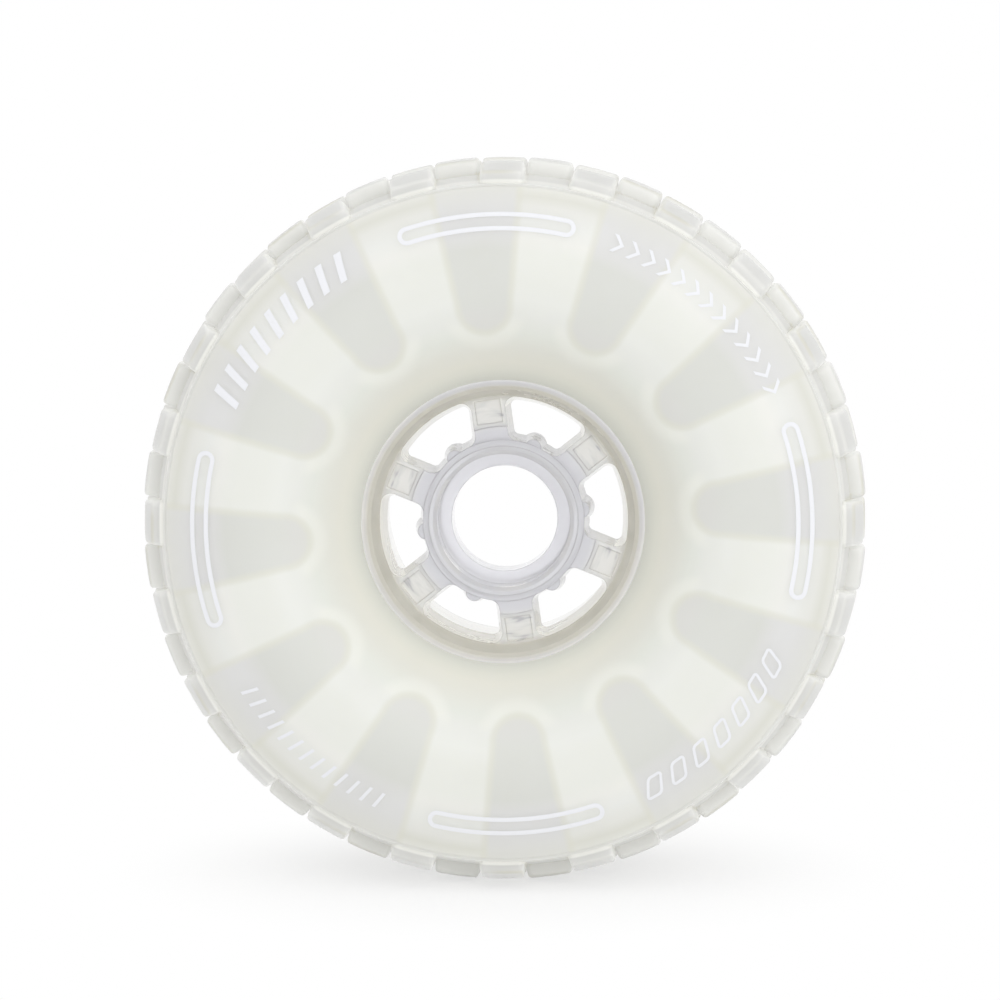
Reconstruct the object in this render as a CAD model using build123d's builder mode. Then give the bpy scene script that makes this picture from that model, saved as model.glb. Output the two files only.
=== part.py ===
# A 120 mm all-terrain board wheel: a clear moulded core, the milky urethane body cast on it
# with air pockets open at its back, and the tread band around it. The origin is the wheel's
# centre, +Y is the axle's direction from the printed front to the back, and +Z is up.
from build123d import *

import math
import os

# Driving dimensions, in millimetres and degrees.
WHEEL_DIAMETER = 120.0
WHEEL_WIDTH = 56.0

# Bearings: two of the 608 size, with a spacer between them.
BEARING_DIAMETER = 22.0
BEARING_WIDTH = 7.0
SPACER_LENGTH = 10.0
SPACER_BORE = 17.6
SEAT_CHAMFER = 0.6

# Core: a boss carried by six spokes in a barrel.
BOSS_INSET = 12.0  # from the wheel's front plane back to the boss
BOSS_WALL = 2.3
BOSS_LIP = 1.0  # how much slimmer the ring round each seat is than the boss
BOSS_STEP = 0.8
BARREL_DIAMETER = 46.6
BARREL_INSET = 9.4  # from the wheel's front plane back to the barrel's rim
BARREL_INSET_BACK = 8.0
BARREL_WAIST = 39.5  # inner diameter where the two halves of the mould met
BARREL_RIM = 1.65
RIM_ROUND = 0.6
BARREL_RIM_BACK = 2.3
KEY_RINGS = 3  # rings round the barrel that lock the urethane to it
KEY_HEIGHT = 1.5
KEY_WIDTH = 3.4
SPOKES = 6
SPOKE_TURN = 38.0
SPOKE_WIDTH = 7.1
SPOKE_DEPTH = 9.5
SPOKE_INSET = 1.2  # from the boss's front back to the spokes
WINDOW_DRAFT = 5.0
WINDOW_CORNER = 0.9
COLLAR_WALL = 0.85  # from the boss out to a window, at the window's narrow end
COLLAR_STEP = 0.9  # how much the spokes drop outside the collar
COLLAR_WIDTH = 2.2
NUB_RADIUS = 2.2  # the half-round rib on the boss in each window
NUB_RISE = 0.95
PANEL_DEPTH = 0.5  # the sunk panel in each spoke's face
PANEL_EDGE = 0.6

# Tyre body.
CREST_RADIUS = 41.0  # where the front wall stands proudest
DISH_RADIUS = 29.5  # where the dish round the core meets the bulge
DISH_RISE = 6.0
DISH_BLEND = 8.0
BACK_FLAT_RADIUS = 30.5
BACK_EDGE = 3.5
BACK_BLEND = 2.0
POCKETS = 12
POCKET_TURN = 4.5
POCKET_START = 29.8
POCKET_END_RADIUS = 5.2
POCKET_FLARE = 14.6  # its width at the outer end of its mouth
POCKET_CORNER = 3.0
POCKET_DRAFT = 1.5
POCKET_SKIN = 8.0  # from the wheel's front plane to the deep floor
POCKET_SHELF = 8.0  # how much shallower its outer part is
POCKET_SHELF_RADIUS = 46.5
POCKET_RIM = 3.0  # urethane between a pocket and the tread band
POCKET_FLOOR_ROUND = 1.5

# Tread band.
TREAD_HEIGHT = 3.2
BAND_WALL = 2.3
BAND_LIP = 0.5  # the wall left at the band's edge
BAND_INSET = 3.5  # from the wheel's front plane back to the band's edge
BAND_LEDGE = 0.4  # how far the body stands proud of the band's edge
SHOULDER = 7.0
BLOCK_ROWS = 6
BLOCKS = 24
BLOCK_SHARE = 0.48  # of the pitch round the wheel
BLOCK_GAP = 1.1
BLOCK_BEVEL = 0.7
CROWN_FLAT = 17.0  # the middle of the tread that is a plain cylinder
CROWN_DROP = 3.2

# Places that follow from them.
half_width = WHEEL_WIDTH / 2
wheel_radius = WHEEL_DIAMETER / 2
seat_radius = BEARING_DIAMETER / 2
seat_depth = BEARING_WIDTH + SEAT_CHAMFER
boss_radius = seat_radius + BOSS_WALL
boss_front = -half_width + BOSS_INSET
boss_back = boss_front + SPACER_LENGTH + 2 * seat_depth
barrel_radius = BARREL_DIAMETER / 2
barrel_front = -half_width + BARREL_INSET
barrel_back = half_width - BARREL_INSET_BACK
waist_radius = BARREL_WAIST / 2
spoke_front = boss_front + SPOKE_INSET
spoke_back = spoke_front + SPOKE_DEPTH
window_growth = SPOKE_DEPTH * math.tan(math.radians(WINDOW_DRAFT))
band_edge = half_width - BAND_INSET
tread_floor = wheel_radius - TREAD_HEIGHT
body_radius = tread_floor - BAND_WALL


def across(y):
    """The plane across the axle at y, with its own x along +X and its own y along +Z."""
    return Plane(origin=(0, y, 0), x_dir=(1, 0, 0), z_dir=(0, -1, 0))


def ring(part, count, turn=0.0):
    """Copies of a part spaced round the axle, the first one turned from +X towards +Z."""
    return [part.rotate(Axis.Y, -turn - 360 / count * step) for step in range(count)]


def barrel_outside():
    """Points (radius, y) along the outside of the barrel, front to back, with its key rings."""
    pitch = (barrel_back - barrel_front) / (KEY_RINGS + 1)
    points = [(barrel_radius, barrel_front)]
    for number in range(1, KEY_RINGS + 1):
        middle = barrel_front + number * pitch
        points.append((barrel_radius, middle - KEY_WIDTH / 2))
        points.append((barrel_radius + KEY_HEIGHT, middle - KEY_WIDTH / 4))
        points.append((barrel_radius + KEY_HEIGHT, middle + KEY_WIDTH / 4))
        points.append((barrel_radius, middle + KEY_WIDTH / 2))
    points.append((barrel_radius, barrel_back))
    return points


# Core, clear polycarbonate: bearing boss, web and barrel turned as one, then the windows.
with BuildPart() as hub_core:
    lip_radius = boss_radius - BOSS_LIP
    collar_radius = boss_radius + COLLAR_WIDTH
    web_face = spoke_front + COLLAR_STEP
    with BuildSketch(Plane.XY):
        with BuildLine():
            Polyline(
                (SPACER_BORE / 2, boss_front + seat_depth),
                (seat_radius, boss_front + seat_depth),
                (seat_radius, boss_front + SEAT_CHAMFER),
                (seat_radius + SEAT_CHAMFER, boss_front),
                (lip_radius, boss_front),
                (lip_radius, boss_front + BOSS_STEP),
                (boss_radius, boss_front + BOSS_STEP),
                (boss_radius, spoke_front),
                (collar_radius, spoke_front),
                (collar_radius, web_face),
                (waist_radius + window_growth, web_face),
                (barrel_radius - BARREL_RIM, barrel_front + RIM_ROUND),
                (barrel_radius - BARREL_RIM + RIM_ROUND, barrel_front),
                *barrel_outside(),
                (barrel_radius - BARREL_RIM_BACK, barrel_back),
                (waist_radius, spoke_back),
                (boss_radius, spoke_back),
                (boss_radius, boss_back - BOSS_STEP),
                (lip_radius, boss_back - BOSS_STEP),
                (lip_radius, boss_back),
                (seat_radius + SEAT_CHAMFER, boss_back),
                (seat_radius, boss_back - SEAT_CHAMFER),
                (seat_radius, boss_back - seat_depth),
                (SPACER_BORE / 2, boss_back - seat_depth),
                close=True,
            )
        make_face()
    revolve(axis=Axis.Y)

    # Six windows between the spokes, drafted towards the front, each with a nub on the boss.
    with BuildSketch(across(spoke_back)) as windows:
        Circle(waist_radius)
        Circle(boss_radius + COLLAR_WALL, mode=Mode.SUBTRACT)
        with PolarLocations(0, SPOKES, start_angle=SPOKE_TURN):
            Rectangle(barrel_radius, SPOKE_WIDTH, align=(Align.MIN, Align.CENTER), mode=Mode.SUBTRACT)
        fillet(windows.vertices(), WINDOW_CORNER)
        nub_centre = boss_radius + COLLAR_WALL + NUB_RISE - NUB_RADIUS
        with PolarLocations(nub_centre, SPOKES, start_angle=SPOKE_TURN + 180 / SPOKES):
            Circle(NUB_RADIUS, mode=Mode.SUBTRACT)
    extrude(amount=SPOKE_DEPTH, taper=-WINDOW_DRAFT, mode=Mode.SUBTRACT)

    # A shallow sunk panel in each spoke's face.
    with BuildSketch(across(web_face)) as panels:
        panel_width = SPOKE_WIDTH - 2 * window_growth - 2 * PANEL_EDGE
        panel_length = waist_radius + window_growth - collar_radius - 2 * PANEL_EDGE
        with PolarLocations(collar_radius + PANEL_EDGE, SPOKES, start_angle=SPOKE_TURN):
            Rectangle(panel_length, panel_width, align=(Align.MIN, Align.CENTER))
    extrude(amount=-PANEL_DEPTH, mode=Mode.SUBTRACT)
hub_core.part.label = "hub_core"


# The mould core that leaves one air pocket: a drafted U with a shallower outer part.
with BuildPart() as pocket_plug:
    pocket_end = body_radius - POCKET_RIM
    with BuildSketch(across(half_width)):
        with Locations((POCKET_START + POCKET_END_RADIUS, 0)):
            Circle(POCKET_END_RADIUS)
        corner_z = POCKET_FLARE / 2 - POCKET_CORNER
        with Locations((pocket_end - POCKET_CORNER, -corner_z), (pocket_end - POCKET_CORNER, corner_z)):
            Circle(POCKET_CORNER)
        make_hull()
    extrude(amount=WHEEL_WIDTH - POCKET_SKIN)
    walls = pocket_plug.faces() - pocket_plug.faces().filter_by(Axis.Y)
    draft(walls, across(half_width), POCKET_DRAFT)
    with BuildSketch(across(-half_width + POCKET_SKIN + POCKET_SHELF)):
        Circle(body_radius)
        Circle(POCKET_SHELF_RADIUS, mode=Mode.SUBTRACT)
    extrude(amount=POCKET_SHELF, mode=Mode.SUBTRACT)
    fillet(pocket_plug.faces().sort_by(Axis.Y)[0].edges(), POCKET_FLOOR_ROUND)


# Tyre body, milky urethane: a bulged front wall with a dish round the core, and a flat back.
with BuildPart() as tyre_body:
    with BuildSketch(Plane.XY) as section:
        with BuildLine():
            dish = (DISH_RADIUS, barrel_front - DISH_RISE)
            crest = (CREST_RADIUS, -half_width)
            edge = (body_radius, -band_edge - BAND_LEDGE)
            Line((barrel_radius, barrel_front), dish)
            TangentArc(crest, dish, tangent=(-1, 0))
            TangentArc(crest, edge, tangent=(1, 0))
            Polyline(
                edge,
                (body_radius, band_edge + BAND_LEDGE),
                (body_radius - BACK_EDGE, half_width),
                (BACK_FLAT_RADIUS, half_width),
                *reversed(barrel_outside()),
            )
        make_face()
        fillet(section.vertices().sort_by_distance(Vector(*dish))[0], DISH_BLEND)
        back_corners = section.vertices().group_by(Axis.Y)[-1]
        fillet(back_corners, BACK_BLEND)
    revolve(axis=Axis.Y)
    add(ring(pocket_plug.part, POCKETS, POCKET_TURN), mode=Mode.SUBTRACT)
tyre_body.part.label = "tyre_body"


def crown(y):
    """The tread's outer radius at y: level in the middle, then falling away as a parabola."""
    fall = max(0.0, abs(y) - CROWN_FLAT / 2) / (band_edge - CROWN_FLAT / 2)
    return wheel_radius - CROWN_DROP * fall**2


def tread_block(middle):
    """One block of the row centred at y = middle, standing on +X, with its top edges bevelled."""
    half_block = band_edge / BLOCK_ROWS - BLOCK_GAP / 2
    near, far = middle - half_block, middle + half_block
    arc = BLOCK_SHARE * 360 / BLOCKS
    with BuildPart() as block:
        with BuildSketch(Plane.XY):
            with BuildLine():
                root = body_radius + BAND_LIP
                Polyline((root, near), (crown(near), near), (crown(far), far), (root, far), close=True)
            make_face()
        revolve(axis=Axis.Y, revolution_arc=arc)
        chamfer(block.faces().sort_by(Axis.X)[-1].edges(), BLOCK_BEVEL)
    return block.part.rotate(Axis.Y, -arc / 2)


# Tread band, clear urethane: a ring with sloped shoulders and staggered rows of blocks.
row_pitch = 2 * band_edge / BLOCK_ROWS
blocks = []
for row in range(BLOCK_ROWS):
    stagger = 180 / BLOCKS * (row % 2)
    blocks += ring(tread_block((row + 0.5) * row_pitch - band_edge), BLOCKS, stagger)

with BuildPart() as tread_band:
    with BuildSketch(Plane.XY):
        with BuildLine():
            Polyline(
                (body_radius, -band_edge),
                (body_radius + BAND_LIP, -band_edge),
                (tread_floor, -band_edge + SHOULDER),
                (tread_floor, band_edge - SHOULDER),
                (body_radius + BAND_LIP, band_edge),
                (body_radius, band_edge),
                close=True,
            )
        make_face()
    revolve(axis=Axis.Y)
    add(blocks)
tread_band.part.label = "tread_band"

os.makedirs("parts", exist_ok=True)
for piece in (hub_core, tyre_body, tread_band):
    export_step(piece.part, f"parts/{piece.part.label}.step")
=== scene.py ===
"""Looks of a 120 mm translucent board wheel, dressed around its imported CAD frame.

The axle runs along Y, the printed front faces -Y and Z is up. The frame, the meshes and the
studio are in metres; the wheel's own sizes below, and the places that its finishes read,
are in millimetres. Angles are measured round the axle from +X towards +Z, as seen from the
front. The urethane pieces are worked out again as smooth surfaces inside the CAD solids;
the moulded core keeps its CAD mesh.
"""
import logging
import math
from dataclasses import dataclass, field
from enum import Enum

import bmesh
import bpy
import numpy as np
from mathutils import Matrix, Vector


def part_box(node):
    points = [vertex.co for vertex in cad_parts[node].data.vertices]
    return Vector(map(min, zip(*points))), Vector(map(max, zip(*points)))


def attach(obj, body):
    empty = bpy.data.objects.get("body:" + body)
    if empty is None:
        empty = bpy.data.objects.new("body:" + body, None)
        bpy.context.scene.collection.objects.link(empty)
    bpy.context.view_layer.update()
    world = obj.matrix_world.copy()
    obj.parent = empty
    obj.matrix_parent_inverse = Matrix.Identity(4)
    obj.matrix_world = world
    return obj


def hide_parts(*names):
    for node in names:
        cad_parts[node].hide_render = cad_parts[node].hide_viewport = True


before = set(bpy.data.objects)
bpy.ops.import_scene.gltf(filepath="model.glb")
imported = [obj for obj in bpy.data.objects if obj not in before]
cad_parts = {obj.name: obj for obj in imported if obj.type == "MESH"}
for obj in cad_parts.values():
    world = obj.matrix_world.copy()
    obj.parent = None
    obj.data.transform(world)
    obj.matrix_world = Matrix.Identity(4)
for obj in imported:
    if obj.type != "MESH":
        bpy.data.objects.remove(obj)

Colour = tuple[float, float, float]  # as seen on a screen, 0 to 255
Stops = tuple[tuple[float, Colour], ...]  # a radius in millimetres and the colour there
Span = tuple[float, float]  # where a mask is 0, and where it is 1
Zone = tuple[float, float, float, float]  # where a mask leaves 0, reaches 1, leaves 1, reaches 0

MM = 0.001
BODY = "root"
BLACK: Colour = (0, 0, 0)
log = logging.getLogger("wheel")


# ---------------------------------------------------------------- shader maths


class Value:
    """A number that varies over a surface: a socket whose operators add Math nodes."""

    def __init__(self, tree: "Tree", socket: bpy.types.NodeSocket) -> None:
        """Wraps one output socket of a tree."""
        self.tree = tree
        self.socket = socket

    def _math(self, operation: str, *values: object) -> "Value":
        """Adds one Math node."""
        return self.tree.add("ShaderNodeMath", {"operation": operation}, dict(enumerate(values)))

    def __add__(self, other: object) -> "Value":
        """Sum."""
        return self._math("ADD", self, other)

    def __radd__(self, other: object) -> "Value":
        """Sum, reflected."""
        return self._math("ADD", other, self)

    def __sub__(self, other: object) -> "Value":
        """Difference."""
        return self._math("SUBTRACT", self, other)

    def __rsub__(self, other: object) -> "Value":
        """Difference, reflected."""
        return self._math("SUBTRACT", other, self)

    def __mul__(self, other: object) -> "Value":
        """Product."""
        return self._math("MULTIPLY", self, other)

    def __rmul__(self, other: object) -> "Value":
        """Product, reflected."""
        return self._math("MULTIPLY", other, self)

    def __abs__(self) -> "Value":
        """Size without sign."""
        return self._math("ABSOLUTE", self)

    def root(self) -> "Value":
        """Square root."""
        return self._math("SQRT", self)

    def sine(self) -> "Value":
        """Sine of an angle in radians."""
        return self._math("SINE", self)

    def cosine(self) -> "Value":
        """Cosine of an angle in radians."""
        return self._math("COSINE", self)

    def angle(self, x: "Value") -> "Value":
        """Angle of the point (x, this) in radians, from -pi to pi."""
        return self._math("ARCTAN2", self, x)

    def least(self, other: object) -> "Value":
        """The smaller of this and other."""
        return self._math("MINIMUM", self, other)

    def most(self, other: object) -> "Value":
        """The larger of this and other."""
        return self._math("MAXIMUM", self, other)

    def from_nearest(self, first: float, count: int) -> "Value":
        """Turns an angle round the axle into that from the nearest spoke or pocket.

        Args:
            first: one spoke's or pocket's angle, in degrees.
            count: how many there are round the axle.

        Returns:
            The angle without sign, folded to run from 0 to pi / count.
        """
        full_turns = 720  # keeps the number to fold above zero
        return self._math("PINGPONG", self - math.radians(first - full_turns), math.pi / count)

    def ramp(self, start: float, end: float) -> "Value":
        """Eases from 0 to 1 by t^2 (3 - 2t).

        Args:
            start: where it is 0; it may be the larger.
            end: where it is 1.

        Returns:
            The eased share.
        """
        step = self.tree.add(
            "ShaderNodeMapRange",
            {"interpolation_type": "SMOOTHSTEP"},
            {"Value": self, "From Min": min(start, end), "From Max": max(start, end)},
        )
        return step if start < end else 1.0 - step

    def within(self, start: float, full: float, fall: float, end: float) -> "Value":
        """1 from full to fall, easing to 0 at start and at end."""
        return self.ramp(start, full) * self.ramp(end, fall)


class Tree:
    """A node tree, with one method for every node that isn't plain maths."""

    def __init__(self, owner: bpy.types.ID) -> None:
        """Starts an empty tree in a new material or world."""
        owner.use_nodes = True
        owner.node_tree.nodes.clear()
        self.owner = owner

    def add(
        self, kind: str, settings: dict | None = None, inputs: dict | None = None, output: int | str = 0
    ) -> Value | None:
        """Adds a node.

        Args:
            kind: the node's type.
            settings: properties to set first; "stops" are a ramp's (position, colour) pairs.
            inputs: values or links by socket name or number.
            output: the socket to hand back.

        Returns:
            That output, wrapped, or None from an output node.
        """
        node = self.owner.node_tree.nodes.new(kind)
        for name, setting in (settings or {}).items():
            if name == "stops":
                self._set_stops(node.color_ramp.elements, setting)
            else:
                setattr(node, name, setting)
        for key, value in (inputs or {}).items():
            if isinstance(value, Value):
                self.owner.node_tree.links.new(value.socket, node.inputs[key])
            else:
                node.inputs[key].default_value = value
        return Value(self, node.outputs[output]) if node.outputs else None

    @staticmethod
    def _set_stops(elements: object, stops: list) -> None:
        """Gives a colour ramp its stops.

        Args:
            elements: the ramp's own stops.
            stops: (position, colour) pairs, from 0 to 1.
        """
        while len(elements) < len(stops):
            elements.new(1.0)
        for element, (position, colour) in zip(elements, stops):
            element.position = position
            element.color = colour

    def mix(self, low: Value | Colour, high: Value | Colour, factor: object) -> Value:
        """Blends two colours.

        Args:
            low: the colour where factor is 0.
            high: the colour where factor is 1.
            factor: the share of high.

        Returns:
            The blended colour.
        """
        low, high = (end if isinstance(end, Value) else tint(end) for end in (low, high))
        settings = {"data_type": "RGBA", "clamp_factor": True}
        return self.add("ShaderNodeMix", settings, {0: factor, 6: low, 7: high}, output=2)

    def place(self) -> tuple[Value, Value, Value, Value]:
        """The surface point's own coordinates.

        Returns:
            The vector in metres, then x, y and z in millimetres.
        """
        vector = self.add("ShaderNodeTexCoord", output="Object")
        split = self.add("ShaderNodeSeparateXYZ", {}, {"Vector": vector}).socket.node
        return (vector, *(Value(self, split.outputs[axis]) * (1 / MM) for axis in "XYZ"))

    def polar(self) -> tuple[Value, Value, Value, Value]:
        """The surface point's place round the axle.

        Returns:
            The vector in metres, y and the radius in millimetres, and the turn in radians.
        """
        vector, x, y, z = self.place()
        return vector, y, (x * x + z * z).root(), z.angle(x)

    def marked(self, label: str) -> Value:
        """A number stored in the mesh under this name."""
        return self.add("ShaderNodeAttribute", {"attribute_name": label}, output="Fac")

    def along(self, radius: Value, stops: Stops) -> Value:
        """A colour ramp over the radius.

        Args:
            radius: the radius in millimetres.
            stops: the ramp's stops, from the axle outwards.

        Returns:
            The blended colour.
        """
        low, high = stops[0][0], stops[-1][0]
        ramp = [((place - low) / (high - low), tint(colour)) for place, colour in stops]
        share = (radius - low) * (1 / (high - low))
        return self.add("ShaderNodeValToRGB", {"stops": ramp}, {"Fac": share})

    def noise(self, vector: Value, scale: float, detail: float = 3.0, roughness: float = 0.5) -> Value:
        """Fractal noise from 0 to 1, with scale in waves per unit of the vector."""
        inputs = {"Vector": vector, "Scale": scale, "Detail": detail, "Roughness": roughness}
        return self.add("ShaderNodeTexNoise", {}, inputs)

    def bump(self, height: Value, depth: float, normal: Value | None = None) -> Value:
        """A normal that tilts with a height.

        Args:
            height: the height, from 0 to 1.
            depth: how many millimetres a height of 1 stands for.
            normal: the normal to tilt, if it isn't the surface's own.

        Returns:
            The tilted normal.
        """
        inputs = {"Height": height, "Strength": 1.0, "Distance": depth * MM}
        return self.add("ShaderNodeBump", {}, inputs if normal is None else inputs | {"Normal": normal})

    def surface(self, inputs: dict, volume: Value | None = None) -> bpy.types.Material:
        """Ends the tree in a Principled shader.

        Args:
            inputs: the shader's values and links.
            volume: what fills the piece, if anything does.

        Returns:
            The finished material.
        """
        ends = {"Surface": self.add("ShaderNodeBsdfPrincipled", {}, inputs)}
        ends = ends if volume is None else ends | {"Volume": volume}
        self.add("ShaderNodeOutputMaterial", {}, ends)
        return self.owner


def tint(colour: Colour) -> tuple[float, float, float, float]:
    """Turns a colour as seen on a screen into the linear light that shaders use.

    Args:
        colour: red, green and blue from 0 to 255.

    Returns:
        Red, green, blue and an alpha of 1, from 0 to 1.
    """
    seen = np.array(colour) / 255
    linear = np.where(seen <= 0.04045, seen / 12.92, ((seen + 0.055) / 1.055) ** 2.4)
    return (*map(float, linear), 1.0)


# ---------------------------------------------------------------- shapes


def closed_object(
    name: str,
    points: np.ndarray,
    faces: np.ndarray,
    material: bpy.types.Material,
    crease: float = 35.0,
    marks: dict[str, np.ndarray] | None = None,
) -> bpy.types.Object:
    """Makes a smooth-shaded object of quads, with its seams merged and its faces outwards.

    Args:
        name: the object's name.
        points: (n, 3) places in millimetres.
        faces: (m, 4) corner numbers; a pole repeats a corner once its seam is merged.
        material: its finish.
        crease: edges sharper than this many degrees stay crisp.
        marks: numbers that the finish reads at each point, by attribute name.

    Returns:
        The object, standing at the origin with its place in its mesh.
    """
    mesh = bpy.data.meshes.new(name)
    mesh.from_pydata(points * MM, [], faces.tolist())
    for label, numbers in (marks or {}).items():
        stored = mesh.attributes.new(label, "FLOAT", "POINT").data
        stored.foreach_set("value", numbers.astype(np.float32))
    shell = bmesh.new()
    shell.from_mesh(mesh)
    bmesh.ops.remove_doubles(shell, verts=shell.verts, dist=1e-7)
    bmesh.ops.dissolve_degenerate(shell, edges=shell.edges, dist=1e-8)
    bmesh.ops.recalc_face_normals(shell, faces=shell.faces)
    shell.to_mesh(mesh)
    shell.free()
    mesh.materials.append(material)
    mesh.shade_smooth()
    mesh.set_sharp_from_angle(angle=math.radians(crease))
    piece = bpy.data.objects.new(name, mesh)
    bpy.context.scene.collection.objects.link(piece)
    return piece


def grid_faces(rows: int, columns: int, wrap_rows: bool, wrap_columns: bool) -> np.ndarray:
    """Corner numbers of the quads of a grid whose points are numbered row by row.

    Args:
        rows: how many rows of points there are.
        columns: how many points a row has.
        wrap_rows: whether the last row joins the first.
        wrap_columns: whether each row's last point joins its first.

    Returns:
        (n, 4) corner numbers, going round each quad.
    """
    row = np.arange(rows if wrap_rows else rows - 1)[:, None]
    column = np.arange(columns if wrap_columns else columns - 1)[None, :]
    here, below = row * columns, (row + 1) % rows * columns
    right = (column + 1) % columns
    quads = [here + column, here + right, below + right, below + column]
    return np.stack(np.broadcast_arrays(*quads), axis=-1).reshape(-1, 4)


def turned(radius: np.ndarray, y: np.ndarray, degrees: np.ndarray) -> np.ndarray:
    """Points at a radius and a turn round the axle: x = r cos(turn), z = r sin(turn)."""
    radius, y, turn = np.broadcast_arrays(radius, y, np.radians(degrees))
    return np.stack([radius * np.cos(turn), y, radius * np.sin(turn)], axis=-1)


def upright(loop: np.ndarray, y: np.ndarray) -> np.ndarray:
    """Lifts a flat loop of points (u, v) to these heights, as points (u, y, v)."""
    return np.stack([loop[:, 0], y, loop[:, 1]], axis=-1)


def rounded_corner(before: tuple, corner: tuple, after: tuple, reach: float, steps: int = 8) -> np.ndarray:
    """Rounds a profile's corner off with a quadratic arc.

    Each of its points is the blend (1-t)^2 start + 2t(1-t) corner + t^2 end.

    Args:
        before: the profile's point before the corner.
        corner: the corner itself.
        after: the point after it.
        reach: how far from the corner the arc starts and ends.
        steps: how many points the arc has.

    Returns:
        (steps, 2) points of the arc.
    """
    before, corner, after = map(np.array, (before, corner, after))
    start = corner + (before - corner) * reach / np.linalg.norm(before - corner)
    end = corner + (after - corner) * reach / np.linalg.norm(after - corner)
    t = np.linspace(0, 1, steps)[:, None]
    return (1 - t) ** 2 * start + 2 * t * (1 - t) * corner + t**2 * end


@dataclass(frozen=True)
class Wall:
    """The body's front wall: a cone up from the core, then two arcs through a crest (mm)."""

    barrel: tuple[float, float] = (23.3, -18.6)
    dish: tuple[float, float] = (29.5, -24.6)
    crest: tuple[float, float] = (41.0, -28.0)
    edge: tuple[float, float] = (54.5, -24.9)
    blend: float = 1.6
    cone_steps: int = 9
    inner_steps: int = 22
    outer_steps: int = 26
    least_step: float = 0.2

    def profile(self) -> np.ndarray:
        """The wall's section.

        Each arc is level at the crest: y = crest + R - sqrt(R^2 - (r - crest)^2), where R is
        the radius that carries it through its other end.

        Returns:
            (n, 2) points (radius, y) from the core out to the rim.
        """
        inner = self._arc(np.linspace(self.dish[0], self.crest[0], self.inner_steps), self.dish)
        outer = self._arc(np.linspace(self.crest[0], self.edge[0], self.outer_steps)[1:], self.edge)
        corner = rounded_corner(self.barrel, self.dish, tuple(inner[2]), self.blend)
        cone = np.linspace(self.barrel, corner[0], self.cone_steps)[:-1]
        beyond = inner[inner[:, 0] > corner[-1, 0] + self.least_step]
        return np.concatenate([cone, corner, beyond, outer])

    def _arc(self, radius: np.ndarray, end: tuple[float, float]) -> np.ndarray:
        """Places points on an arc that starts level at the crest.

        Args:
            radius: the points' radii.
            end: the (radius, y) that the arc passes through.

        Returns:
            (n, 2) points (radius, y).
        """
        across, rise = end[0] - self.crest[0], end[1] - self.crest[1]
        bend = (across**2 + rise**2) / (2 * rise)
        y = self.crest[1] + bend - np.sqrt(bend**2 - (radius - self.crest[0]) ** 2)
        return np.stack([radius, y], axis=-1)

    def height(self, radius: np.ndarray) -> np.ndarray:
        """The wall's y at a radius."""
        profile = self.profile()
        return np.interp(radius, profile[:, 0], profile[:, 1])


# ---------------------------------------------------------------- finishes


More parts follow.
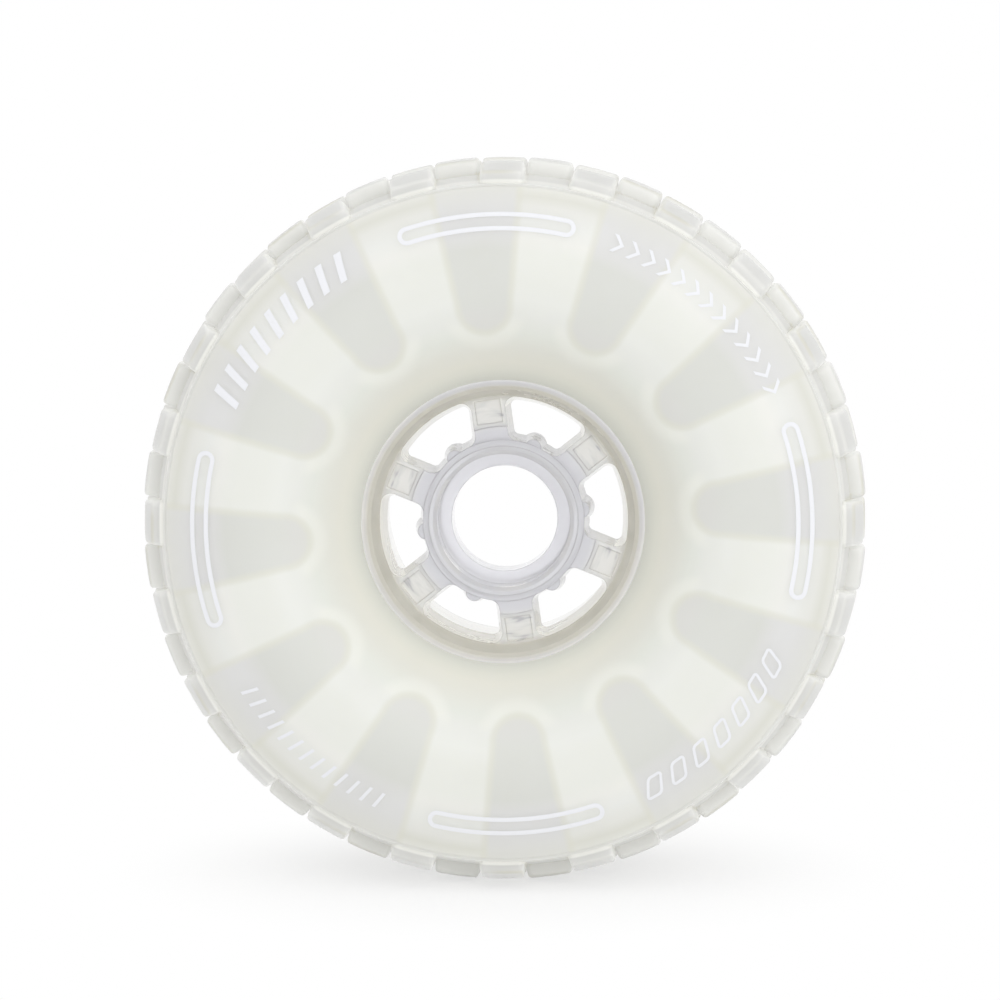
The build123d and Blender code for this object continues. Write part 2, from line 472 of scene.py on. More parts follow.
@dataclass(frozen=True)
class MilkyUrethane:
    """Cast urethane, milky and frosted; its pockets show through its wall as soft grey painted shade (mm).
    """

    pockets: int = 12
    pocket_turn: float = 4.5
    pocket_start: float = 31.0
    pocket_round: float = 4.3
    pocket_flare: float = 0.16
    pocket_blur: Span = (0.95, -1.15)
    halo_blur: Span = (3.4, 1.4)
    halo_end: Span = (34.5, 32.0)
    halo_share: float = 0.5
    fringe_share: float = 0.3
    front: Span = (-13.0, -17.0)
    # Partly painted shade: the ribs are coloured darker by the core, where the dish is recessed, and just
    # inside the rim.
    rib_stops: Stops = (
        (23.5, (221, 222, 213)), (25.0, (232, 232, 222)), (26.2, (236, 235, 225)), (28.6, (235, 235, 227)),
        (31.0, (233, 235, 228)), (33.5, (236, 237, 232)), (36.5, (239, 240, 235)), (39.0, (238, 239, 233)),
        (44.0, (239, 240, 234)), (46.4, (242, 242, 237)), (49.0, (239, 240, 236)), (51.6, (235, 235, 230)),
        (53.1, (227, 227, 219)), (54.6, (234, 234, 228)),
    )
    # Painted shade: the pockets seen through the front wall, a little greyer than the ribs.
    pocket_shade_stops: Stops = (
        (29.8, (227, 227, 222)), (33.5, (226, 226, 222)), (36.0, (225, 226, 221)), (42.0, (224, 225, 220)),
        (44.5, (223, 224, 219)), (46.4, (227, 227, 225)), (48.0, (229, 229, 228)), (50.4, (229, 229, 228)),
        (51.6, (228, 228, 226)), (54.6, (228, 228, 223)),
    )
    # Painted light at the pockets' edges: a straw tint of light bent by their walls, and a paler painted
    # highlight round their inner ends.
    refraction_fringe_colour: Colour = (226, 225, 208)
    halo_highlight_colour: Colour = (245, 245, 238)
    back_colour: Colour = (238, 239, 232)
    cloud_colour: Colour = (214, 214, 203)
    cloud_patches: Span = (0.45, 0.9)
    cloud_share: float = 0.12
    bore: Zone = (-18.7, -18.3, 19.8, 20.2)
    bore_reach: Span = (25.7, 25.3)
    bore_glow: Colour = (160, 156, 148)
    rim: Zone = (-24.7, -24.4, 24.4, 24.7)
    rim_reach: Span = (54.2, 54.4)
    rim_glow: Colour = (196, 196, 188)
    inside: Zone = (-21.5, -21.0, 16.0, 27.0)
    inside_reach: Zone = (28.5, 29.5, 53.2, 53.6)
    inside_glow: Colour = (74, 72, 72)

    def material(self) -> bpy.types.Material:
        """Builds the finish.

        Within one pocket's half sector, painted shade stands for the pocket seen through the
        wall: it lies where the distance to the pocket's middle line is less than its half width,
        which widens outwards. Its edge is blurred and carries a painted straw tint of light bent
        by the pocket's wall, and a paler painted highlight lies round its inner end. The radial
        colours are partly painted shade too, darker by the core and just inside the rim. A glow
        stands for the light that reaches the joints with the core and the band, and the pockets'
        insides.

        Returns:
            The material.
        """
        tree = Tree(bpy.data.materials.new("milky_urethane"))
        vector, y, radius, turn = tree.polar()
        half = turn.from_nearest(self.pocket_turn, self.pockets)
        across = radius * half.sine()
        beyond = radius * half.cosine() - (self.pocket_start + self.pocket_round)
        short = beyond.least(0.0)
        distance = (short * short + across * across).root() - beyond.most(0.0) * self.pocket_flare
        outside = distance - self.pocket_round
        # Painted shade where a pocket lies behind the wall.
        pocket_shade = outside.ramp(*self.pocket_blur)
        # Painted straw tint of light bent at the pocket's edge, then a painted highlight round its inner
        # end.
        fringe = 4.0 * pocket_shade * (1.0 - pocket_shade)
        halo = outside.ramp(*self.halo_blur) * radius.ramp(*self.halo_end) * (1.0 - pocket_shade)
        cloud = tree.noise(vector, scale=90.0, detail=4.0)
        fine = tree.noise(vector, scale=2600.0, detail=2.0)

        shown = tree.mix(tree.along(radius, self.rib_stops), self.halo_highlight_colour, halo * self.halo_share)
        shown = tree.mix(shown, tree.along(radius, self.pocket_shade_stops), pocket_shade)
        shown = tree.mix(shown, self.refraction_fringe_colour, fringe * self.fringe_share)
        colour = tree.mix(self.back_colour, shown, y.ramp(*self.front))
        colour = tree.mix(colour, self.cloud_colour, cloud.ramp(*self.cloud_patches) * self.cloud_share)

        bore = y.within(*self.bore) * radius.ramp(*self.bore_reach)
        rim = y.within(*self.rim) * radius.ramp(*self.rim_reach)
        inside = y.within(*self.inside) * radius.within(*self.inside_reach)
        glow = tree.mix(tree.mix(BLACK, self.bore_glow, bore), self.rim_glow, rim)
        return tree.surface({
            "Base Color": colour,
            "Emission Color": tree.mix(glow, self.inside_glow, inside),
            "Emission Strength": 1.0,
            "Roughness": 0.40 + 0.14 * cloud,
            "IOR": 1.49,
            "Subsurface Weight": 0.35,
            "Subsurface Radius": (1.0, 1.0, 0.92),
            "Subsurface Scale": 4 * MM,
            "Normal": tree.bump(fine, 0.006),
        })


@dataclass(frozen=True)
class ClearUrethane:
    """Clear urethane, cloudy inside, with painted highlights on its edges and painted shade at its feet
    (mm).
    """

    colour: Colour = (206, 206, 203)
    # Painted shade: the blocks' walls a little greyer than their tops.
    wall_shade_colour: Colour = (207, 207, 204)
    # Painted highlight on the blocks' edges.
    painted_edge_colour: Colour = (216, 216, 212)
    # Painted shade: a straw line in the crease round the blocks' feet, also the edges' tint over a pocket.
    foot_shade_colour: Colour = (197, 195, 181)
    # Painted light: the band's edge beside the body's rim is made lighter.
    lip_colour: Colour = (234, 234, 228)
    cloud_colour: Colour = (193, 194, 188)
    skin_glow: Colour = (84, 84, 83)
    ring_glow: Colour = (99, 99, 97)
    wall_glow: Colour = (120, 120, 117)
    wall: Zone = (-0.3, -0.1, 0.0, 0.1)
    edge: Zone = (0.0, 0.2, 0.35, 0.9)
    foot: Zone = (-1.1, -0.3, -0.2, -0.12)
    gap: Span = (0.4, 0.0)
    ring_to_wall: Span = (-0.6, -0.16)
    band_edge: Span = (24.0, 23.4)
    lip: Span = (55.9, 55.5)
    cloud_patches: Span = (0.45, 0.9)
    edge_patches: Span = (0.35, 0.65)
    pockets: int = 12
    pocket_turn: float = 4.5
    pocket_side: Span = (0.14, 0.09)  # radians from a pocket's middle

    def material(self) -> bpy.types.Material:
        """Builds the finish.

        The attribute "inward" is a point's distance inside a block's outline in millimetres:
        the blocks' edges carry a painted highlight, or a painted straw shade over a dark pocket,
        their walls carry painted shade that leaves them a little greyer than their tops, and a
        painted straw shade line runs round their feet. The band's edge by the body's rim is
        painted lighter. A low glow stands for the light that passes through, and is stronger
        between the blocks.

        Returns:
            The material.
        """
        tree = Tree(bpy.data.materials.new("clear_urethane"))
        vector, y, radius, turn = tree.polar()
        inward = tree.marked("inward")
        cloud = tree.noise(vector, scale=140.0, detail=4.0)
        wave = tree.noise(vector, scale=220.0, detail=1.0)
        over_pocket = turn.from_nearest(self.pocket_turn, self.pockets).ramp(*self.pocket_side)
        edge = inward.within(*self.edge) * (0.35 + 0.65 * cloud.ramp(*self.edge_patches))
        # Painted shade in the crease round each block's foot, deeper over a pocket.
        foot = inward.within(*self.foot) * (0.25 + 0.5 * over_pocket)
        between = inward.ramp(*self.gap) * abs(y).ramp(*self.band_edge)
        lip = radius.ramp(*self.lip)

        # Painted highlight on the edges, turning to painted straw shade where a dark pocket lies below.
        painted_edge_colour = tree.mix(self.painted_edge_colour, self.foot_shade_colour, over_pocket * 0.75)
        # Painted shade on the blocks' walls.
        colour = tree.mix(self.colour, self.wall_shade_colour, inward.within(*self.wall))
        colour = tree.mix(colour, painted_edge_colour, edge)
        colour = tree.mix(colour, self.foot_shade_colour, foot)
        colour = tree.mix(colour, self.cloud_colour, cloud.ramp(*self.cloud_patches) * 0.3)
        # Painted light: the band's lip made lighter; it also glows below.
        colour = tree.mix(colour, self.lip_colour, lip * 0.7)
        passed = tree.mix(self.ring_glow, self.wall_glow, inward.ramp(*self.ring_to_wall))
        return tree.surface({
            "Base Color": colour,
            "Emission Color": tree.mix(self.skin_glow, passed, between.most(lip * 0.9)),
            "Emission Strength": 1.0,
            "Roughness": 0.3 + 0.14 * wave,
            "IOR": 1.4,
            "Subsurface Weight": 0.8,
            "Subsurface Radius": (1.0, 1.0, 1.0),
            "Subsurface Scale": 6 * MM,
            "Coat Weight": 0.3,
            "Coat Roughness": 0.2,
            "Normal": tree.bump(wave, 0.03),
        })


@dataclass(frozen=True)
class ClearCore:
    """Moulded polycarbonate: clear, faintly violet, painted warm where urethane shows through it, with
    painted highlights and edge shade (mm).
    """

    lip_colour: Colour = (246, 246, 250)
    boss_colour: Colour = (234, 234, 239)
    spoke_colour: Colour = (241, 241, 240)
    # Partly painted light: the warm cone is the urethane seen through the plastic, 23.3 mm is a painted
    # highlight line, and the outer edge is painted dark.
    rim_stops: Stops = (
        (19.6, (238, 238, 236)), (20.2, (226, 225, 220)), (20.8, (213, 212, 205)), (22.2, (211, 210, 205)),
        (22.8, (217, 217, 222)), (23.3, (244, 244, 250)), (23.7, (222, 223, 246)), (24.3, (220, 221, 246)),
        (24.55, (196, 195, 214)), (24.95, (160, 158, 172)),
    )
    # Painted shade: dark lines along the core's edges.
    painted_edge_colour: Colour = (176, 174, 170)
    # Painted reflections in the spoke panels: light and dark streaks.
    reflection_light_colour: Colour = (255, 254, 251)
    reflection_dark_colour: Colour = (190, 191, 196)
    depth_colour: Colour = (222, 222, 225)
    density: float = 8.0
    boss: Span = (12.1, 13.6)
    web: Span = (14.6, 16.2)
    rim: Span = (19.6, 20.0)
    front: Span = (-9.0, -11.0)
    edge_width: float = 0.3
    edge_bend: Span = (0.02, 0.22)
    spokes: int = 6
    spoke_turn: float = 38.0
    panel: Zone = (16.0, 16.3, 20.0, 20.3)
    panel_side: Span = (2.6, 2.2)
    reflection_light_streaks: Span = (0.4, 0.56)
    reflection_dark_streaks: Span = (0.42, 0.3)
    # Painted light: a glow in the seat's bottom stands for light coming through the clear plastic.
    seat: Zone = (-8.8, -8.5, 1.7, 1.9)
    seat_reach: Span = (11.1, 10.9)
    seat_glow: Colour = (76, 76, 78)

    def material(self) -> bpy.types.Material:
        """Builds the finish.

        The tint goes by the distance from the axle: violet boss, plain spokes, a warm cone
        inside the barrel where the urethane seen through it is painted in, then a painted
        highlight line, a violet-grey rim and its painted dark outer edge. Where the normal of a
        rounded copy of the shape leaves the true one, the point is on an edge, which gets a
        painted darker line. The sunk panels in the spokes carry painted light and dark
        reflections as streaks across the spoke. A painted glow lights the bottom of the seat.

        Returns:
            The material.
        """
        tree = Tree(bpy.data.materials.new("clear_core"))
        vector, y, radius, turn = tree.polar()
        flow = tree.noise(vector, scale=260.0, detail=2.0)
        soft = tree.add("ShaderNodeBevel", {"samples": 6}, {"Radius": self.edge_width * MM})
        true = tree.add("ShaderNodeNewGeometry", output="Normal")
        dot = {"operation": "DOT_PRODUCT"}
        match = tree.add("ShaderNodeVectorMath", dot, {0: soft, 1: true}, output="Value")
        edge = (1.0 - match).ramp(*self.edge_bend) * (0.15 + 0.45 * flow)
        front = y.ramp(*self.front)
        rim = radius.ramp(*self.rim) * front * (0.75 + 0.5 * flow)
        across = radius * turn.from_nearest(self.spoke_turn, self.spokes).sine()
        panel = across.ramp(*self.panel_side) * radius.within(*self.panel) * front
        stream = tree.add("ShaderNodeCombineXYZ", {}, {"X": turn * 5.0, "Y": radius})
        streak = tree.noise(stream, scale=0.65, detail=2.0, roughness=0.6)
        seat = y.within(*self.seat) * radius.ramp(*self.seat_reach)

        colour = tree.mix(self.lip_colour, self.boss_colour, radius.ramp(*self.boss))
        colour = tree.mix(colour, self.spoke_colour, radius.ramp(*self.web))
        # Painted light: the urethane seen through the rim, its highlight line and its dark edge.
        colour = tree.mix(colour, tree.along(radius, self.rim_stops), rim)
        # Painted reflections: light and dark streaks in the spoke panels.
        colour = tree.mix(colour, self.reflection_light_colour, panel * streak.ramp(*self.reflection_light_streaks) * 0.9)
        colour = tree.mix(colour, self.reflection_dark_colour, panel * streak.ramp(*self.reflection_dark_streaks) * 0.8)
        # Painted shade along the edges.
        colour = tree.mix(colour, self.painted_edge_colour, edge)
        depth = {"Color": tint(self.depth_colour), "Density": self.density}
        inputs = {
            "Base Color": colour,
            "Emission Color": tree.mix(BLACK, self.seat_glow, seat),
            "Emission Strength": 1.0,
            "Roughness": 0.03 + 0.08 * flow,
            "IOR": 1.45,
            "Transmission Weight": 0.55,
            "Normal": tree.bump(flow + 2.0 * panel * streak, 0.05, soft),
        }
        return tree.surface(inputs, volume=tree.add("ShaderNodeVolumeAbsorption", {}, depth))


@dataclass(frozen=True)
class WhiteInk:
    """Pad-printed white ink, a little uneven (mm)."""

    colour: Colour = (245, 246, 250)
    thin_colour: Colour = (236, 237, 238)
    thin_spots: Span = (0.55, 0.85)

    def material(self) -> bpy.types.Material:
        """Builds the finish: the ink thins slightly in small spots.

        Returns:
            The material.
        """
        tree = Tree(bpy.data.materials.new("white_ink"))
        spots = tree.noise(tree.place()[0], scale=1400.0)
        return tree.surface({
            "Base Color": tree.mix(self.colour, self.thin_colour, spots.ramp(*self.thin_spots) * 0.4),
            "Roughness": 0.45 + 0.2 * spots,
            "Normal": tree.bump(spots, 0.01),
        })


# ---------------------------------------------------------------- the wheel's pieces


@dataclass
class TyreBody:
    """The milky body: a turned section whose back is laid out in sectors, one air pocket each (mm).

    In a sector, u runs outwards along the pocket's middle and v across it.
    """

    wall: Wall
    half_width: float
    outer_radius: float
    embed: float = 0.05
    barrel_radius: float = 23.3
    barrel_back: float = 20.0
    key_rings: int = 3
    key_height: float = 1.5
    key_width: float = 3.4
    back_inner: float = 30.5
    back_outer: float = 51.0
    back_blend: float = 0.85
    back_steps: int = 6
    flat_margin: float = 1.6
    rim_steps: int = 7
    sector_inner: float = 26.6
    sector_outer: float = 53.4
    pockets: int = 12
    pocket_turn: float = 4.5
    end_centre: float = 35.0
    end_radius: float = 5.2
    corner_centre: tuple[float, float] = (48.5, 4.3)
    corner_radius: float = 3.0
    draft: float = 1.5
    deep_floor: float = -20.0
    shelf_floor: float = -12.0
    shelf_start: float = 46.3
    floor_round: float = 1.5
    floor_turns: tuple = (30, 60, 90)
    mouth_round: float = 0.45
    mouth_turns: tuple = (22.5, 45, 67.5, 90)
    columns: int = 16
    border_rings: int = 20
    wall_rings: int = 6
    crowd_reach: float = 0.045
    step_reach: float = 0.004
    finish: MilkyUrethane = field(default_factory=MilkyUrethane)

    def back(self) -> np.ndarray:
        """The back's profile.

        Returns:
            (n, 2) points (radius, y) from the barrel out to the rim.
        """
        barrel = (self.barrel_radius - self.embed, self.barrel_back)
        inner, outer = (self.back_inner, self.half_width), (self.back_outer, self.half_width)
        rim = (self.outer_radius, -self.wall.edge[1])
        ends = self.back_inner + self.flat_margin, self.back_outer - self.flat_margin
        flat = np.linspace(*ends, self.back_steps)
        return np.concatenate([
            [barrel],
            rounded_corner(barrel, inner, outer, self.back_blend, self.back_steps),
            np.stack([flat, np.full_like(flat, self.half_width)], axis=-1),
            rounded_corner(inner, outer, rim, self.back_blend, self.back_steps),
            [rim],
        ])

    def bore(self) -> np.ndarray:
        """The bore's profile, with a groove for each key ring.

        Returns:
            (n, 2) points (radius, y), back to front.
        """
        radius, front = self.barrel_radius - self.embed, self.wall.barrel[1]
        pitch = (self.barrel_back - front) / (self.key_rings + 1)
        middles = front + pitch * np.arange(1, self.key_rings + 1)
        offsets = self.key_width * np.array([-0.5, -0.25, 0.25, 0.5])
        rises = self.key_height * np.array([0.0, 1.0, 1.0, 0.0])
        y = (middles[:, None] + offsets).ravel()
        grooves = np.stack([radius + np.tile(rises, self.key_rings), y], axis=-1)
        return np.concatenate([[(radius, self.barrel_back)], grooves[::-1], [(radius, front)]])

    def section(self) -> np.ndarray:
        """The turned profile.

        Returns:
            (n, 2) points (radius, y) from the sectors' inner edge, through the bore and over
            the front, to the sectors' outer edge.
        """
        back = self.back()
        edges = np.array([self.sector_inner, self.sector_outer])
        first, last = np.stack([edges, np.interp(edges, back[:, 0], back[:, 1])], axis=-1)
        front = self.wall.profile()[1:]
        rim_y = np.linspace(front[-1, 1], -front[-1, 1], self.rim_steps)[1:]
        rim = np.stack([np.full_like(rim_y, self.outer_radius), rim_y], axis=-1)
        return np.concatenate([[first], self.bore(), front, rim, [last]])

    def shelf_share(self) -> float:
        """Where the shelf's step stands on a pocket's straight side, from 0 to 1."""
        return (self.shelf_start - self.end_centre) / (self.corner_centre[0] - self.end_centre)

    def side_steps(self) -> np.ndarray:
        """Where the points of a pocket's straight side stand.

        They crowd where the sector's border crosses the back's two blends, and two of them
        stand close on either side of the shelf's step.

        Returns:
            Rising shares of the side, from 0 to 1.
        """
        step = self.shelf_share()
        blends = np.array([self.back_inner, self.back_outer]) - self.sector_inner
        crossings = blends / (self.sector_outer - self.sector_inner)
        crowds = crossings[:, None] + np.linspace(-self.crowd_reach, self.crowd_reach, 8)
        shelf = [step - self.step_reach, step + self.step_reach]
        plain = np.linspace(0.3, step - 0.06, 5)
        return np.sort(np.concatenate([[0.0, 0.05, 1.0], shelf, *crowds, plain]))

    def outline(self, shrink: np.ndarray | float) -> np.ndarray:
        """A pocket's outline: the hull of three circles, one inside and two in the outer corners.

        The straight sides touch the circles where their shared normal has the turn whose
        cosine to the line of centres is the circles' difference over their distance.

        Args:
            shrink: how far the points are drawn in.

        Returns:
            (n, 2) points (u, v) of a closed loop.
        """
        count, sides = self.columns, self.side_steps()
        there, back = sides[:-1], sides[:0:-1]
        (corner_u, corner_v), small, large = self.corner_centre, self.corner_radius, self.end_radius
        start = np.array([self.end_centre, 0.0])
        line = np.array([corner_u - self.end_centre, corner_v])
        normal = math.atan2(line[1], line[0]) + math.acos((large - small) / np.hypot(*line))
        end = np.linspace(2 * math.pi - normal, normal, count + 1)[:-1]
        arc = normal * small
        run = np.linspace(0, 2 * arc + 2 * corner_v, count + 1)[:-1]
        beyond = run - arc - 2 * corner_v
        corner = np.where(beyond > 0, -beyond / small, np.clip(normal - run / small, 0, None))
        across = np.clip(corner_v - (run - arc), -corner_v, corner_v)
        centre = np.concatenate([
            np.tile(start, (count, 1)),
            start + there[:, None] * line,
            np.stack([np.full(count, corner_u), across], axis=-1),
            start + back[:, None] * line * (1, -1),
        ])
        angle = np.concatenate([end, np.full_like(there, normal), corner, np.full_like(back, -normal)])
        size = np.concatenate([
            np.full(count, large),
            large + there * (small - large),
            np.full(count, small),
            large + back * (small - large),
        ]) - shrink
        return centre + size[:, None] * np.stack([np.cos(angle), np.sin(angle)], axis=-1)

    def sector_edge(self) -> np.ndarray:
        """One sector's border, with points that match the outline's.

        Returns:
            (n, 2) points (u, v) of a closed loop.
        """
        edge = math.pi / self.pockets
        sweep = np.linspace(-edge, edge, self.columns + 1)[:-1]
        reach = self.sector_inner + self.side_steps() * (self.sector_outer - self.sector_inner)
        there, back = reach[:-1], reach[:0:-1]
        inner, outer = np.full(self.columns, self.sector_inner), np.full(self.columns, self.sector_outer)
        radius = np.concatenate([inner, there, outer, back])
        turn = np.concatenate([sweep, np.full_like(there, edge), -sweep, np.full_like(back, -edge)])
        return np.stack([radius * np.cos(turn), radius * np.sin(turn)], axis=-1)

    def on_back(self, loop: np.ndarray) -> np.ndarray:
        """Lifts a flat loop of points (u, v) on to the back's profile, as points (u, y, v)."""
        profile = self.back()
        return upright(loop, np.interp(np.hypot(*loop.T), profile[:, 0], profile[:, 1]))

    def pocket_rings(self) -> np.ndarray:
        """Rings of points from the sector's border over the mouth and down to the floor.

        The mouth's edge and the floor's edge are quarter rounds. In between, a wall point's
        inward shift is its depth times the tangent of the draft.

        Returns:
            (rings, n, 3) points (u, y, v).
        """
        slope = math.tan(math.radians(self.draft))
        border, mouth = self.sector_edge(), self.outline(-self.mouth_round)
        shares = np.linspace(0, 1, self.border_rings)
        rings = [self.on_back(border + share * (mouth - border)) for share in shares]
        top = self.on_back(self.outline(0.0))[:, 1]
        for turn in np.radians(self.mouth_turns):
            loop = self.outline(-self.mouth_round * (1 - math.sin(turn)))
            rings.append(upright(loop, top - self.mouth_round * (1 - math.cos(turn))))
        foot = np.where(self._deep(), self.deep_floor, self.shelf_floor) + self.floor_round
        for share in np.linspace(0, 1, self.wall_rings + 1)[1:]:
            y = (top - self.mouth_round) * (1 - share) + foot * share
            rings.append(upright(self.outline((top - y) * slope), y))
        for turn in np.radians(self.floor_turns):
            loop = self.outline((top - foot) * slope + self.floor_round * (1 - math.cos(turn)))
            rings.append(upright(loop, foot - self.floor_round * math.sin(turn)))
        return np.stack(rings)

    def _deep(self) -> np.ndarray:
        """Tells the deep floor's part of a loop from the shelf's.

        Returns:
            For each of the loop's points, whether it stands over the deep floor.
        """
        side = self.side_steps() < self.shelf_share()
        inner, outer = np.ones(self.columns, bool), np.zeros(self.columns, bool)
        return np.concatenate([inner, side[:-1], outer, side[:0:-1]])

    def pocket_floor(self, rim: np.ndarray) -> np.ndarray:
        """A grid over the floor inside its rim.

        A Coons patch: the blend across the two long sides, plus the blend across the two
        ends, minus the bilinear blend of the four corners.

        Args:
            rim: the last of the pocket's rings.

        Returns:
            (rows, columns, 3) points (u, y, v).
        """
        count, steps = self.columns, len(self.side_steps())
        loop = np.concatenate([rim, rim[:1]])
        low = loop[: count + 1]
        right = loop[count : count + steps]
        high = loop[count + steps - 1 : 2 * count + steps][::-1]
        left = loop[2 * count + steps - 1 :][::-1]
        s = np.linspace(0, 1, count + 1)[None, :, None]
        t = np.linspace(0, 1, steps)[:, None, None]
        ends = (1 - t) * low[None] + t * high[None]
        sides = (1 - s) * left[:, None] + s * right[:, None]
        corners = (1 - t) * ((1 - s) * low[0] + s * low[-1]) + t * ((1 - s) * high[0] + s * high[-1])
        floor = ends + sides - corners
        floor[..., 1] = sides[..., 1]
        floor[0, :, 1], floor[-1, :, 1] = low[:, 1], high[:, 1]
        return floor

    def build(self) -> bpy.types.Object:
        """Joins the turned section and the twelve sectors into one closed mesh.

        Returns:
            The body.
        """
        around = self.pockets * self.columns
        turn = self.pocket_turn + 180 / self.pockets + np.arange(around) * 360 / around
        section = self.section()
        shell = turned(section[:, :1], section[:, 1:], turn[None, :])
        rings = self.pocket_rings()
        floor = self.pocket_floor(rings[-1])
        points, faces = [shell.reshape(-1, 3)], [grid_faces(len(section), around, False, True)]
        count = len(points[0])
        for number in range(self.pockets):
            angle = self.pocket_turn + number * 360 / self.pockets
            for patch, wraps in ((rings, True), (floor, False)):
                radius = np.hypot(patch[..., 0], patch[..., 2])
                spread = np.degrees(np.arctan2(patch[..., 2], patch[..., 0]))
                points.append(turned(radius, patch[..., 1], angle + spread).reshape(-1, 3))
                faces.append(grid_faces(*patch.shape[:2], False, wraps) + count)
                count += len(points[-1])
        finish = self.finish.material()
        return closed_object("milky_body", np.concatenate(points), np.concatenate(faces), finish)

    def dress(self) -> bpy.types.Object:
        """Builds the body and puts it in its CAD node's place.

        Returns:
            The body.
        """
        piece = self.build()
        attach(piece, BODY)
        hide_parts("tyre_body")
        return piece


@dataclass
class TreadBand:
    """The clear band: six staggered rows of soft-edged blocks on a ring with sloped shoulders (mm).

    The two tuples of offsets say where the grid's lines crowd, counted from a block's end
    or side and running inwards.
    """

    inner_radius: float
    outer_radius: float
    half_width: float
    embed: float = 0.1
    lip: float = 0.5
    floor_height: float = 3.2
    shoulder: float = 7.0
    crown_flat: float = 17.0
    crown_drop: float = 3.2
    rows: int = 6
    blocks: int = 24
    share: float = 0.48
    gap: float = 1.1
    corner: float = 0.9
    edge_round: float = 0.75
    foot: float = 0.16
    end_offsets: tuple = (-2.4, -1.05, -0.6, -0.35, -0.15, 0.0)
    side_offsets: tuple = (-1.9, -0.9, -0.45, -0.2, -0.05, 0.0)
    crease: float = 50.0
    finish: ClearUrethane = field(default_factory=ClearUrethane)

    def columns(self) -> np.ndarray:
        """Turns of the grid's columns, crowded where blocks of either stagger end.

        Returns:
            Rising turns in degrees, once round the wheel.
        """
        pitch = 2 * math.pi * self.outer_radius / self.blocks
        end, offsets = self.share * pitch / 2, np.array(self.end_offsets)
        half = np.concatenate([[0.0], end + offsets, pitch / 2 - end - offsets[::-1]])
        steps = np.concatenate([half, [pitch / 2], pitch - half[:0:-1]])
        return (np.arange(self.blocks)[:, None] + steps / pitch).ravel() * 360 / self.blocks

    def lines(self) -> np.ndarray:
        """The y of the grid's rows, crowded where blocks end.

        Returns:
            Rising y, from the band's front edge to its back edge.
        """
        pitch = 2 * self.half_width / self.rows
        end = (pitch - self.gap) / 2
        half = np.concatenate([[0.0], end + np.array(self.side_offsets), [end + self.foot]])
        steps = np.concatenate([-half[:0:-1], half, [pitch / 2]])
        middles = (np.arange(self.rows) + 0.5) * pitch - self.half_width
        return np.concatenate([[-self.half_width], (middles[:, None] + steps).ravel()])

    def base(self, y: np.ndarray) -> np.ndarray:
        """The ring's own radius: level, then sloping down over each shoulder to its lip."""
        radii = [self.inner_radius + self.lip, self.outer_radius - self.floor_height]
        return np.interp(self.half_width - np.abs(y), [0, self.shoulder], radii)

    def crown(self, y: np.ndarray) -> np.ndarray:
        """The blocks' outer radius: level in the middle, then falling away as a parabola.

        Args:
            y: places along the axle.

        Returns:
            The radii there.
        """
        level = self.crown_flat / 2
        fall = np.clip(np.abs(y) - level, 0, None) / (self.half_width - level)
        return self.outer_radius - self.crown_drop * fall**2

    def inward(self, turn: np.ndarray, y: np.ndarray) -> np.ndarray:
        """How far each point is inside its nearest block's outline, in the unrolled tread.

        The outline is a rounded rectangle, so beyond its corners the distance is that to a
        circle, and beside its sides that to a line.

        Args:
            turn: the points' turns in degrees.
            y: their places along the axle.

        Returns:
            The distances, below zero outside the blocks.
        """
        line_pitch, pitch = 2 * self.half_width / self.rows, 360 / self.blocks
        row = np.clip(np.floor((y + self.half_width) / line_pitch), 0, self.rows - 1)
        offset = (turn + pitch / 2 * (row % 2) + pitch / 2) % pitch - pitch / 2
        across = np.abs(np.radians(offset)) * self.outer_radius
        along = np.abs(y - ((row + 0.5) * line_pitch - self.half_width))
        half_across = self.share * math.radians(pitch) * self.outer_radius / 2
        out_across = across - half_across + self.corner
        out_along = along - (line_pitch - self.gap) / 2 + self.corner
        outside = np.hypot(np.clip(out_across, 0, None), np.clip(out_along, 0, None))
        return self.corner - outside - np.clip(np.maximum(out_across, out_along), None, 0)

    def raised(self, inward: np.ndarray, y: np.ndarray) -> np.ndarray:
        """How far each point stands above the ring.

        Within the foot it climbs the block's wall, then it follows a quarter round up to the
        crown: h = H - R + sqrt(R^2 - (R - d)^2), with d the distance inward.

        Args:
            inward: the points' distances inside the blocks.
            y: their places along the axle.

        Returns:
            The heights.
        """
        full = self.crown(y) - self.base(y)
        climb = np.clip(1 + inward / self.foot, 0, 1) * (full - self.edge_round)
        dip = np.clip(self.edge_round - inward, 0, self.edge_round)
        return climb + np.where(inward > 0, np.sqrt(self.edge_round**2 - dip**2), 0)

    def build(self) -> bpy.types.Object:
        """Makes the band as one closed grid: its outside, its two edges and its inside.

        Returns:
            The band, with the distance inward stored at each point.
        """
        y, turn = self.lines(), self.columns()
        inward = self.inward(turn[None, :], y[:, None])
        outside = self.base(y)[:, None] + self.raised(inward, y[:, None])
        inside = np.full((1, len(turn)), self.inner_radius - self.embed)
        radius = np.concatenate([inside, outside, inside])
        line = np.concatenate([y[:1], y, y[-1:]])[:, None]
        points = turned(radius, line, turn[None, :]).reshape(-1, 3)
        faces = grid_faces(len(line), len(turn), True, True)
        far_out = np.full_like(inside, -9.0)
        marks = {"inward": np.concatenate([far_out, inward, far_out]).ravel()}
        return closed_object("tread_blocks", points, faces, self.finish.material(), self.crease, marks)

    def dress(self) -> bpy.types.Object:
        """Builds the band and puts it in its CAD node's place.

        Returns:
            The band.
        """
        piece = self.build()
        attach(piece, BODY)
        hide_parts("tread_band")
        return piece


